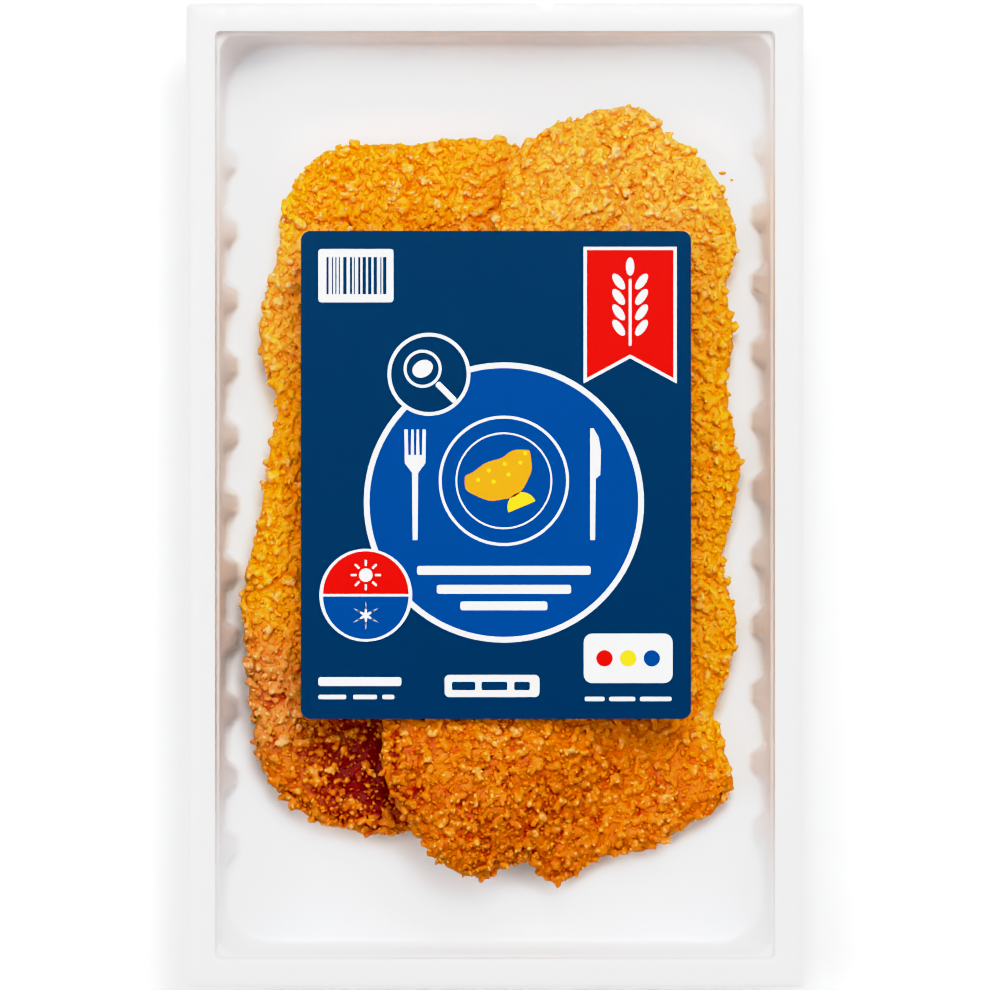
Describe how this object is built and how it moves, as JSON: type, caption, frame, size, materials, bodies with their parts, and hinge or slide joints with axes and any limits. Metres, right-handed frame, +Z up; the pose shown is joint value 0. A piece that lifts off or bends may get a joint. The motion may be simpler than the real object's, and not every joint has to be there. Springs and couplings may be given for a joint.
{
  "type": "tray pack of breaded schnitzels",
  "caption": "Sealed rectangular retail tray of breaded schnitzels under clear film with a blue paper label, lying flat with the label up.",
  "frame": {"origin": "on the ground under the middle of the pack", "axes": "+Y along the pack to its notched end, +X to the right seen from above, +Z up out of the label"},
  "size_m": [0.1568, 0.25, 0.0288],
  "materials": {
    "tray_plastic": "glossy white thermoformed plastic, slightly translucent",
    "lid_film": "clear glossy lidding film",
    "label": "printed label, even satin navy",
    "crust": "golden breadcrumb crust, coarse and dry with a little oil"
  },
  "bodies": {
    "root": {"tray": "tray_plastic", "lid_film": "lid_film", "label": "label", "schnitzel_back": "crust", "schnitzel_front": "crust"}
  },
  "joints": []
}
